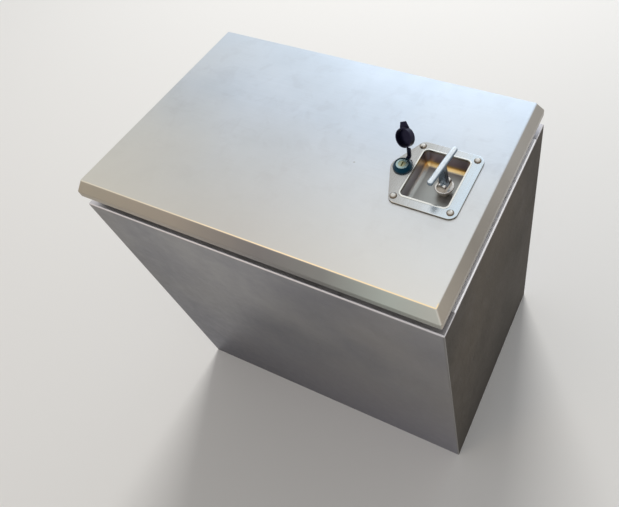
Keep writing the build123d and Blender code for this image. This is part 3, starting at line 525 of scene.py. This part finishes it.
rivet_tree, given = new_shape_tree("row of rivets", {
    "Count": "Int", "First": "Vector", "Pitch": "Vector", "Turn": "Vector", "Head radius": "Float",
    "Head rim": "Float", "Head rise": "Float", "Shank radius": "Float", "Grip": "Float",
    "Tail radius": "Float", "Tail height": "Float"})
head = domed_head(rivet_tree, given["Head radius"], given["Head rim"], given["Head rise"])
shank = hanging_rod(rivet_tree, given["Shank radius"], given["Grip"], 0.0)
drop = add(rivet_tree, "ShaderNodeMath", {0: given["Grip"], 1: -1.0}, operation="MULTIPLY")
tail = hanging_rod(rivet_tree, given["Tail radius"], given["Tail height"], drop.outputs[0])
one = add(rivet_tree, "GeometryNodeJoinGeometry")
for part in (head, shank, tail):
    rivet_tree.links.new(part, one.inputs[0])
row = add(rivet_tree, "GeometryNodeMeshLine", {
    "Count": given["Count"], "Start Location": given["First"], "Offset": given["Pitch"]})
placed = add(rivet_tree, "GeometryNodeInstanceOnPoints", {
    "Points": row.outputs[0], "Instance": one.outputs[0], "Rotation": given["Turn"]})
close_shape_tree(rivet_tree, given, placed.outputs[0])

RIVETS = 6
RIVET_HEAD_RADIUS = 3.75 * MM
RIVET_RIM = 0.4 * MM
RIVET_SHANK_RADIUS = 2 * MM
# the ledge's rivets are bucked over below; the lid's are blind, and end in a broken stem
for node, body, head_height, grip, tail_height, tail_radius in (
        ("hinge_body_rivets", "box", 1.65 * MM, 3 * MM, 1.2 * MM, 3 * MM),
        ("hinge_lid_rivets", "lid", 1.2 * MM, 2.5 * MM, 0.5 * MM, 1.3 * MM)):
    low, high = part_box(node)
    first_y = low.y + RIVET_HEAD_RADIUS
    pitch = (high.y - low.y - 2 * RIVET_HEAD_RADIUS) / (RIVETS - 1)
    middle = (low + high) / 2
    if body == "box":
        first, turn = (middle.x, first_y, high.z - head_height), (0, 0, 0)
    else:
        first, turn = (high.x - head_height, first_y, middle.z), (0, math.pi / 2, 0)
    rivets = shape_from(rivet_tree, node + "_domed", {
        "Count": RIVETS, "First": first, "Pitch": (0, pitch, 0), "Turn": turn,
        "Head radius": RIVET_HEAD_RADIUS, "Head rim": RIVET_RIM,
        "Head rise": head_height - RIVET_RIM, "Shank radius": RIVET_SHANK_RADIUS,
        "Grip": grip, "Tail radius": tail_radius, "Tail height": tail_height,
        "Material": hinge_steel})
    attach(rivets, body)
    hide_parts(node)


# ------------------------------------------------------------------------------------------------
# Rubber inside the box: the sponge seal under the lid, the plate's thin gasket and the cable
# grommets, all black and matt, and the studded mat that a battery stands on, moulded in one sheet.

DUST_PATCH = 14 * MM


def black_rubber(name, shade, worn, dull, pore, gloss=0.5, sheen="#FFFFFF"):
    """Black rubber, moulded or foamed: matt, with pores of the given size in millimetres, and a
    greyer bloom of dust in patches; gloss and sheen are its shine and that shine's tint."""
    material, tree, output = new_material(name)
    place = add(tree, "ShaderNodeTexCoord").outputs["Object"]
    pores = add(tree, "ShaderNodeTexNoise", {"Vector": place, "Scale": 1 / (pore * MM),
                                             "Detail": 4.0})
    dust = add(tree, "ShaderNodeTexNoise", {"Vector": place, "Scale": 1 / DUST_PATCH, "Detail": 5.0,
                                            "Roughness": 0.65})
    bloom = add(tree, "ShaderNodeMapRange", {"Value": dust.outputs["Fac"], "From Min": 0.45,
                                             "From Max": 0.75})
    tone = add(tree, "ShaderNodeMix", {"Factor": bloom.outputs[0], "A": colour(shade),
                                       "B": colour(worn)}, data_type="RGBA")
    bump = add(tree, "ShaderNodeBump", {"Height": pores.outputs["Fac"], "Strength": 0.3,
                                        "Distance": 0.2 * MM})
    skin = add(tree, "ShaderNodeBsdfPrincipled", {
        "Base Color": tone.outputs["Result"], "Roughness": dull, "Specular IOR Level": gloss,
        "Specular Tint": colour(sheen), "Sheen Weight": 0.12, "Sheen Roughness": 0.4,
        "Normal": bump.outputs[0]})
    tree.links.new(skin.outputs[0], output.inputs["Surface"])
    return material


# foamed rubber drinks the light; moulded rubber keeps a faint grey shine
sponge_rubber = black_rubber("sponge rubber seal", "#1B1B1C", "#2A2A2B", 0.85, 1.2)
mat_rubber = black_rubber("moulded rubber mat", "#202021", "#333334", 0.7, 0.8)
dress(["lid_gasket", "latch_gasket"], sponge_rubber)
dress(["floor_mat", "cable_grommets"], mat_rubber)

STUD_PITCH = 24 * MM
STUD_RADIUS = 5 * MM
STUD_HEIGHT = 1.4 * MM
STUD_TOP_SHARE = 0.7
STUD_SUNK = 0.2 * MM
STUD_KEEP_OFF = 24 * MM
stud_tree, given = new_shape_tree("studs of a mat", {
    "Length": "Float", "Width": "Float", "Along": "Int", "Across": "Int", "Top": "Float",
    "Radius": "Float", "Height": "Float", "Hole X": "Float", "Hole Y": "Float",
    "Keep off": "Float"})
grid = add(stud_tree, "GeometryNodeMeshGrid", {
    "Size X": given["Length"], "Size Y": given["Width"], "Vertices X": given["Along"],
    "Vertices Y": given["Across"]})
place = add(stud_tree, "GeometryNodeInputPosition")
folded = add(stud_tree, "ShaderNodeVectorMath", {0: place.outputs[0]}, operation="ABSOLUTE")
hole = add(stud_tree, "ShaderNodeCombineXYZ", {"X": given["Hole X"], "Y": given["Hole Y"]})
away = add(stud_tree, "ShaderNodeVectorMath", {0: folded.outputs[0], 1: hole.outputs[0]},
           operation="DISTANCE")
near = add(stud_tree, "FunctionNodeCompare", {0: away.outputs["Value"], 1: given["Keep off"]},
           data_type="FLOAT", operation="LESS_THAN")
kept = add(stud_tree, "GeometryNodeDeleteGeometry", {"Geometry": grid.outputs["Mesh"],
                                                     "Selection": near.outputs[0]}, domain="POINT")
raised = add(stud_tree, "ShaderNodeCombineXYZ", {"Z": given["Top"]})
lifted = add(stud_tree, "GeometryNodeSetPosition", {"Geometry": kept.outputs[0],
                                                    "Offset": raised.outputs[0]})
narrow = add(stud_tree, "ShaderNodeMath", {0: given["Radius"], 1: STUD_TOP_SHARE},
             operation="MULTIPLY")
stud = add(stud_tree, "GeometryNodeMeshCone", {
    "Vertices": 12, "Radius Top": narrow.outputs[0], "Radius Bottom": given["Radius"],
    "Depth": given["Height"]})
placed = add(stud_tree, "GeometryNodeInstanceOnPoints", {"Points": lifted.outputs[0],
                                                         "Instance": stud.outputs["Mesh"]})
close_shape_tree(stud_tree, given, placed.outputs[0])

FLOOR_BOLT_INSET = (82 * MM, 77 * MM)
mat_low, mat_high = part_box("floor_mat")
along = int((mat_high.x - mat_low.x) / STUD_PITCH)
across = int((mat_high.y - mat_low.y) / STUD_PITCH)
studs = shape_from(stud_tree, "floor_mat_studs", {
    "Length": (along - 1) * STUD_PITCH, "Width": (across - 1) * STUD_PITCH, "Along": along,
    "Across": across, "Top": mat_high.z - STUD_SUNK, "Radius": STUD_RADIUS, "Height": STUD_HEIGHT,
    "Hole X": BOX_HALF[0] - FLOOR_BOLT_INSET[0], "Hole Y": BOX_HALF[1] - FLOOR_BOLT_INSET[1],
    "Keep off": STUD_KEEP_OFF, "Material": mat_rubber})
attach(studs, "box")


# ------------------------------------------------------------------------------------------------
# The latch plate: pressed from 2 mm stainless with a drawn dish and a rolled bead round it, then
# polished. The rim carries painted reflections and the bead a painted highlight; the dish has a
# duller shine, with painted reflections that are golden on its far wall. Four dome-headed machine
# screws hold the plate on the lid.

FILM = 9 * MM


def polished_stainless(name, shade, tinted, dull, wave, wave_depth, skin=None, steep_shade=None):
    """Polished metal: a clear shine over slow waves of the given length and depth in millimetres,
    under a film that dulls and tints it in patches. skin may change the tone and the roughness from
    place to place; the last argument paints shade on steep faces: its tone, and the upward lean
    where that painted shade starts and is full."""
    material, tree, output = new_material(name)
    coordinates = add(tree, "ShaderNodeTexCoord")
    place = coordinates.outputs["Object"]
    waves = add(tree, "ShaderNodeTexNoise", {"Vector": place, "Scale": 1 / (wave * MM),
                                             "Detail": 1.5})
    film = add(tree, "ShaderNodeTexNoise", {"Vector": place, "Scale": 1 / FILM, "Detail": 5.0,
                                            "Roughness": 0.6})
    thick = add(tree, "ShaderNodeMapRange", {"Value": film.outputs["Fac"], "From Min": 0.35,
                                             "From Max": 0.7})
    tone = add(tree, "ShaderNodeMix", {"Factor": thick.outputs[0], "A": colour(shade),
                                       "B": colour(tinted)}, data_type="RGBA").outputs["Result"]
    shine = add(tree, "ShaderNodeMapRange", {"Value": film.outputs["Fac"], "From Min": 0.3,
                                             "From Max": 0.7, "To Min": dull,
                                             "To Max": dull + 0.08}).outputs[0]
    if skin is not None:
        tone, shine = skin(tree, place, tone, shine)
    # painted shade: steep faces take a darker tone
    if steep_shade is not None:
        faces = add(tree, "ShaderNodeSeparateXYZ", {"Vector": coordinates.outputs["Normal"]})
        steep = add(tree, "ShaderNodeMapRange", {"Value": faces.outputs[2], "From Min": steep_shade[1],
                                                 "From Max": steep_shade[2]})
        tone = add(tree, "ShaderNodeMix", {"Factor": steep.outputs[0], "A": tone,
                                           "B": colour(steep_shade[0])},
                   data_type="RGBA").outputs["Result"]
    bump = add(tree, "ShaderNodeBump", {"Height": waves.outputs["Fac"], "Strength": 0.5,
                                        "Distance": wave_depth * MM})
    metal = add(tree, "ShaderNodeBsdfPrincipled", {
        "Base Color": tone, "Metallic": 1.0, "Roughness": shine, "Normal": bump.outputs[0]})
    tree.links.new(metal.outputs[0], output.inputs["Surface"])
    return material


BEAD_RISE = 1.2 * MM
BEAD_HIGHLIGHT_COLOUR = "#E3E4DF"
DISH_SHEET = 1.5 * MM
# how far under the plate's face the dish's painted reflections begin, and their wall's last tone
# lies
DISH_LIP = (0.7 * MM, 1 * MM)
DISH_DULLER = 0.15
FAR_FROM, FAR_FULL = 22 * MM, 36 * MM
STREAK = (3 * MM, 30 * MM)
FAR_WALL = [(0.0, "#9A9C99"), (0.03, "#EBCF96"), (0.17, "#D8AC62"), (0.27, "#A08E80"),
            (0.4, "#93838B"), (0.85, "#A69CA1"), (1.0, "#8C7F68")]
NEAR_WALLS = [(0.0, "#9A9C99"), (0.04, "#A9ACAA"), (0.14, "#E6E6E4"), (0.24, "#B0A9AC"),
              (0.5, "#B3AAB0"), (0.85, "#C4BFC2"), (1.0, "#8C7F68")]
RIM_REFLECTIONS = [(0.1, "#A09F9B"), (0.35, "#B8B9B7"), (0.7, "#D3DADE"), (1.0, "#CFE0EC")]
plate_low, plate_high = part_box("latch_dish")
PLATE_TOP = plate_high.z - BEAD_RISE
DISH_FLOOR = plate_low.z + DISH_SHEET


def plate_reflections(tree, place, tone, shine):
    """Paints reflections on the plate, grey at one end and cool at the other, a highlight on the
    bead, and reflections in the dish: golden in the far wall's fillet, greyer with a bright band on
    the floor and the other walls. The dish also gets a duller shine."""
    parts = add(tree, "ShaderNodeSeparateXYZ", {"Vector": place})
    streak = add(tree, "ShaderNodeMapping", {"Vector": place,
                                             "Scale": (1 / STREAK[0], 1 / STREAK[1], 1.0)})
    streak = add(tree, "ShaderNodeTexNoise", {"Vector": streak.outputs[0], "Scale": 1.0,
                                              "Detail": 3.0})
    # painted reflections along the rim, grey at one end and cool at the other
    across = add(tree, "ShaderNodeMapRange", {"Value": parts.outputs[0], "From Min": plate_low.x,
                                              "From Max": plate_high.x, "To Min": -0.15,
                                              "To Max": 0.85})
    across = add(tree, "ShaderNodeMath", {0: streak.outputs["Fac"], 1: 0.3, 2: across.outputs[0]},
                 operation="MULTIPLY_ADD")
    rim = add(tree, "ShaderNodeValToRGB", {"Fac": across.outputs[0]}, stops=RIM_REFLECTIONS)
    tone = add(tree, "ShaderNodeMix", {"Factor": 0.8, "A": tone, "B": rim.outputs["Color"]},
               data_type="RGBA").outputs["Result"]
    # a painted highlight along the bead
    bead_highlight = add(tree, "ShaderNodeMapRange", {"Value": parts.outputs[2],
                                              "From Min": PLATE_TOP + BEAD_RISE / 12,
                                              "From Max": PLATE_TOP + 0.75 * BEAD_RISE})
    tone = add(tree, "ShaderNodeMix", {"Factor": bead_highlight.outputs[0], "A": tone,
                                       "B": colour(BEAD_HIGHLIGHT_COLOUR)},
               data_type="RGBA").outputs["Result"]
    # painted reflections in the dish: golden in the far wall's fillet, a bright band low on the
    # other walls
    depth = add(tree, "ShaderNodeMapRange", {"Value": parts.outputs[2], "From Min": DISH_FLOOR,
                                             "From Max": PLATE_TOP - DISH_LIP[1]}).outputs[0]
    far = add(tree, "ShaderNodeMapRange", {"Value": parts.outputs[1], "From Min": FAR_FROM,
                                           "From Max": FAR_FULL})
    near_walls = add(tree, "ShaderNodeValToRGB", {"Fac": depth}, stops=NEAR_WALLS)
    far_wall = add(tree, "ShaderNodeValToRGB", {"Fac": depth}, stops=FAR_WALL)
    dish_reflections = add(tree, "ShaderNodeMix", {"Factor": far.outputs[0], "A": near_walls.outputs["Color"],
                                        "B": far_wall.outputs["Color"]}, data_type="RGBA")
    below = add(tree, "ShaderNodeMath", {0: parts.outputs[2], 1: PLATE_TOP - DISH_LIP[0]},
                operation="LESS_THAN")
    tone = add(tree, "ShaderNodeMix", {"Factor": below.outputs[0], "A": tone,
                                       "B": dish_reflections.outputs["Result"]}, data_type="RGBA")
    duller = add(tree, "ShaderNodeMath", {0: below.outputs[0], 1: DISH_DULLER, 2: shine},
                 operation="MULTIPLY_ADD")
    return tone.outputs["Result"], duller.outputs[0]


# polished: the surround shows clearly, a little bent where the pressing pulled the plate
plate_polish = polished_stainless("polished stainless plate", "#C9CDD1", "#BDBDB9", 0.19, 30, 0.35,
                                  plate_reflections)
dress(["latch_dish"], plate_polish)

# a polished dome carries one bright spot; its foot is painted darker and browner as shade
screw_polish = polished_stainless("polished stainless screw", "#CFCDC8", "#C2BEB6", 0.12, 6, 0.1,
                                  steep_shade=("#5E4F3C", 0.9, 0.74))
screw_tree, given = new_shape_tree("screws in a grid", {
    "Spacing X": "Float", "Spacing Y": "Float", "Middle": "Vector", "Head radius": "Float",
    "Head rim": "Float", "Head rise": "Float", "Shank radius": "Float", "Shank length": "Float",
    "Thread depth": "Float", "Thread pitch": "Float"})
head = domed_head(screw_tree, given["Head radius"], given["Head rim"], given["Head rise"])
rod = add(screw_tree, "GeometryNodeMeshCylinder", {
    "Vertices": 24, "Side Segments": 64, "Radius": given["Shank radius"],
    "Depth": given["Shank length"]})
place = add(screw_tree, "GeometryNodeInputPosition")
parts = add(screw_tree, "ShaderNodeSeparateXYZ", {"Vector": place.outputs[0]})
turns = add(screw_tree, "ShaderNodeMath", {0: parts.outputs[2], 1: given["Thread pitch"]},
            operation="DIVIDE")
turns = add(screw_tree, "ShaderNodeMath", {0: turns.outputs[0], 1: 2 * math.pi},
            operation="MULTIPLY")
round_it = add(screw_tree, "ShaderNodeMath", {0: parts.outputs[1], 1: parts.outputs[0]},
               operation="ARCTAN2")
phase = add(screw_tree, "ShaderNodeMath", {0: turns.outputs[0], 1: round_it.outputs[0]},
            operation="SUBTRACT")
ridge = add(screw_tree, "ShaderNodeMath", {0: phase.outputs[0]}, operation="COSINE")
ridge = add(screw_tree, "ShaderNodeMapRange", {"Value": ridge.outputs[0], "From Min": -1.0,
                                               "From Max": 1.0, "To Min": -1.0, "To Max": 0.0})
bite = add(screw_tree, "ShaderNodeMath", {0: ridge.outputs[0], 1: given["Thread depth"]},
           operation="MULTIPLY")
flat = add(screw_tree, "ShaderNodeCombineXYZ", {"X": parts.outputs[0], "Y": parts.outputs[1]})
outward = add(screw_tree, "ShaderNodeVectorMath", {0: flat.outputs[0]}, operation="NORMALIZE")
shift = add(screw_tree, "ShaderNodeVectorMath", {0: outward.outputs[0], "Scale": bite.outputs[0]},
            operation="SCALE")
threaded = add(screw_tree, "GeometryNodeSetPosition", {"Geometry": rod.outputs["Mesh"],
                                                       "Offset": shift.outputs[0]})
half = add(screw_tree, "ShaderNodeMath", {0: given["Shank length"], 1: -0.5}, operation="MULTIPLY")
down = add(screw_tree, "ShaderNodeCombineXYZ", {"Z": half.outputs[0]})
hung = add(screw_tree, "GeometryNodeTransform", {"Geometry": threaded.outputs[0],
                                                 "Translation": down.outputs[0]})
one = add(screw_tree, "GeometryNodeJoinGeometry")
for part in (head, hung.outputs[0]):
    screw_tree.links.new(part, one.inputs[0])
grid = add(screw_tree, "GeometryNodeMeshGrid", {
    "Size X": given["Spacing X"], "Size Y": given["Spacing Y"], "Vertices X": 2, "Vertices Y": 2})
shifted = add(screw_tree, "GeometryNodeSetPosition", {"Geometry": grid.outputs["Mesh"],
                                                      "Offset": given["Middle"]})
placed = add(screw_tree, "GeometryNodeInstanceOnPoints", {"Points": shifted.outputs[0],
                                                          "Instance": one.outputs[0]})
close_shape_tree(screw_tree, given, placed.outputs[0])

SCREW_HEAD_RADIUS = 5.5 * MM
SCREW_HEAD_HEIGHT = 3.4 * MM
SCREW_RIM = 0.6 * MM
SCREW_RADIUS = 2.5 * MM
THREAD_DEPTH = 0.35 * MM
THREAD_PITCH = 0.8 * MM
low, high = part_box("latch_screws")
screws = shape_from(screw_tree, "latch_screws_domed", {
    "Spacing X": high.x - low.x - 2 * SCREW_HEAD_RADIUS,
    "Spacing Y": high.y - low.y - 2 * SCREW_HEAD_RADIUS,
    "Middle": ((low.x + high.x) / 2, (low.y + high.y) / 2, high.z - SCREW_HEAD_HEIGHT),
    "Head radius": SCREW_HEAD_RADIUS, "Head rim": SCREW_RIM,
    "Head rise": SCREW_HEAD_HEIGHT - SCREW_RIM, "Shank radius": SCREW_RADIUS,
    "Shank length": high.z - low.z - SCREW_HEAD_HEIGHT, "Thread depth": THREAD_DEPTH,
    "Thread pitch": THREAD_PITCH, "Material": screw_polish})
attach(screws, "lid")
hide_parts("latch_screws")


# ------------------------------------------------------------------------------------------------
# The swivel and its handle: castings in stainless, polished but a little wavy. The hub is a bowl
# with two ears; the T-handle folds between them on a pin. The bar's sides are painted slate as
# shade, so its top looks brighter.

# polished by hand: bright and bluish on top, with painted slate shade on the sides; the hub's steep
# faces, in its bowl, are painted warmer and darker as shade
handle_polish = polished_stainless("polished cast stainless", "#E2EBF1", "#CBD5DC", 0.24, 9, 0.35,
                                   steep_shade=("#7A8793", 0.72, 0.38))
hub_polish = polished_stainless("polished cast hub", "#DAD9D6", "#BDB9B3", 0.17, 8, 0.3,
                                steep_shade=("#B8B0A6", 0.72, 0.38))
dress(["t_handle"], handle_polish)
dress(["swivel_hub", "handle_pin"], hub_polish)


# ------------------------------------------------------------------------------------------------
# Under the lid: the bush, spacer, cam, washer and nuts that pull the lid down, and the lock's nut
# and tail. They are mild steel, turned or cut from plate, with bright zinc plating.

# plating over a machined face: an even, pale frosted shine with a yellow cast in places
zinc_plate = dulled_stainless("bright zinc plate", "#B9BABD", "#ABACB0", "#B8B4A4", 0.3, (3, 3, 3))
dress(["latch_nuts", "shaft_housing", "cam_spacer", "cam_arm", "cam_washer", "cam_nut", "lock_nut",
       "lock_tail", "lock_tail_screw"], zinc_plate)


# ------------------------------------------------------------------------------------------------
# The key lock: a die-cast zinc body, nickel plated, round a brass plug with its keyway. The plug's
# face shows its brass where keys have rubbed the nickel away.

# nickel has a cool, greenish shine; the rubbed brass is duller, with a golden cast in patches
lock_nickel = polished_stainless("nickel plated lock body", "#A9BDBB", "#8FA9A8", 0.2, 6, 0.2)
plug_brass = polished_stainless("rubbed brass plug", "#B7AD82", "#8FA394", 0.25, 5, 0.2)
dress(["lock_housing"], lock_nickel)
dress(["key_plug"], plug_brass)


# ------------------------------------------------------------------------------------------------
# The dust cap: ring, strap and cap moulded in one piece of black rubber with a bluish cast. The
# strap is thin enough to bend, and the cap has sprung open behind the lock.

# smooth from the mould: near black with a violet shine on the cap and a teal one on the ring
cap_rubber = black_rubber("moulded rubber dust cap", "#0A0A1E", "#141428", 0.3, 0.9, 0.45,
                          "#8E8AC4")
ring_rubber = black_rubber("moulded rubber lock ring", "#031A24", "#082C3C", 0.3, 0.9, 0.8,
                           "#4698C2")
dress(["dust_cap"], cap_rubber)
dress(["dust_cap_ring"], ring_rubber)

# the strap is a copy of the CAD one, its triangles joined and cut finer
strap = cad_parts["dust_cap_strap"].copy()
strap.data = strap.data.copy()
strap.parent = None
for key in list(strap.keys()):
    del strap[key]
strap.name = "dust_cap_strap_bending"
scene.collection.objects.link(strap)
mesh = bmesh.new()
mesh.from_mesh(strap.data)
bmesh.ops.remove_doubles(mesh, verts=mesh.verts, dist=0.01 * MM)
bmesh.ops.subdivide_edges(mesh, edges=mesh.edges, cuts=3, use_grid_fill=True)
bmesh.ops.triangulate(mesh, faces=mesh.faces)
mesh.to_mesh(strap.data)
mesh.free()
strap.data.materials.clear()
strap.data.materials.append(cap_rubber)
strap_low, strap_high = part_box("dust_cap_strap")
across = (strap_low.x + strap_high.x) / 2
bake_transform(strap)
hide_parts("dust_cap_strap")
